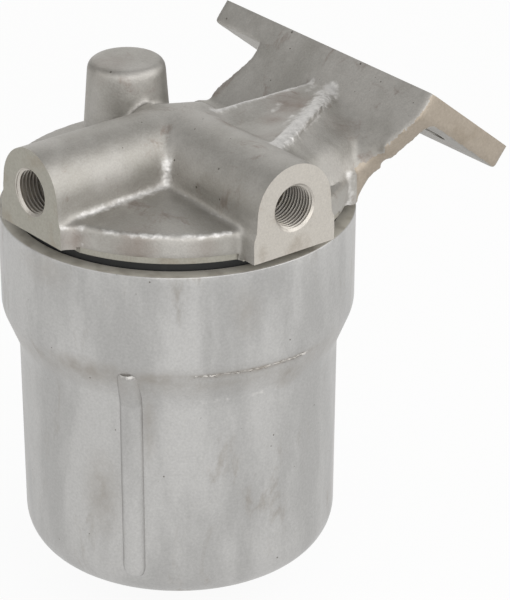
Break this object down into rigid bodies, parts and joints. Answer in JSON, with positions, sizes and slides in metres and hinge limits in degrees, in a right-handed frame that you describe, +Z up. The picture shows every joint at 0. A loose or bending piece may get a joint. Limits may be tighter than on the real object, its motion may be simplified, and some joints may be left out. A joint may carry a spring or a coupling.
{
  "type": "hydraulic filter",
  "caption": "Cast aluminium hydraulic bowl filter: ported head with a sloping mounting bracket, a ribbed bowl held by a centre bolt, a pleated element and a bypass valve.",
  "frame": {"origin": "centre of the bracket's mounting face", "axes": "+Z up along the bowl's axis, +X out of the right port, -Y out of the left port"},
  "size_m": [0.1587, 0.2047, 0.2408],
  "materials": {
    "cast_aluminium_head": "as cast",
    "cast_aluminium_bowl": "as cast",
    "black_rubber": "moulded",
    "plated_steel": "zinc plated",
    "spring_steel": "drawn wire",
    "tinned_steel": "pressed sheet",
    "filter_paper": "pleated",
    "copper": "soft, pressed",
    "brass": "turned"
  },
  "bodies": {
    "head": {"head_casting": "cast_aluminium_head", "bypass_seat": "brass", "bypass_keeper": "spring_steel", "bypass_spring": "spring_steel"},
    "bowl_assembly": {"bowl": "cast_aluminium_bowl", "bowl_seal": "black_rubber", "bolt_o_ring": "black_rubber", "spring_seat_washer": "plated_steel", "element_spring": "spring_steel", "spring_cup": "plated_steel", "element_lower_cap": "tinned_steel", "element_upper_cap": "tinned_steel", "element_lower_grommet": "black_rubber", "element_upper_grommet": "black_rubber", "element_core": "tinned_steel", "element_media": "filter_paper"},
    "bolt": {"centre_bolt": "plated_steel", "bolt_washer": "copper", "bolt_keeper": "spring_steel"},
    "poppet": {"bypass_poppet": "brass"}
  },
  "joints": [
    {"name": "bowl_drop", "type": "slide", "parent": "head", "child": "bowl_assembly", "axis": [0, 0, -1], "range_m": [0, 0.02]},
    {"name": "bolt_turn", "type": "hinge", "parent": "bowl_assembly", "child": "bolt", "pos_m": [0, -0.10492, -0.13275], "axis": [0, 0, -1], "range_deg": [0, 4120]},
    {"name": "bypass_lift", "type": "slide", "parent": "head", "child": "poppet", "axis": [0, 0, 1], "range_m": [0, 0.004], "stiffness_N_per_m": 1500, "springref_m": -0.004, "deforming": ["bypass_spring"]}
  ],
  "couplings": [
    {"joint": "bolt_turn", "follows": "bowl_drop", "rad_per_m": 3590.4}
  ]
}
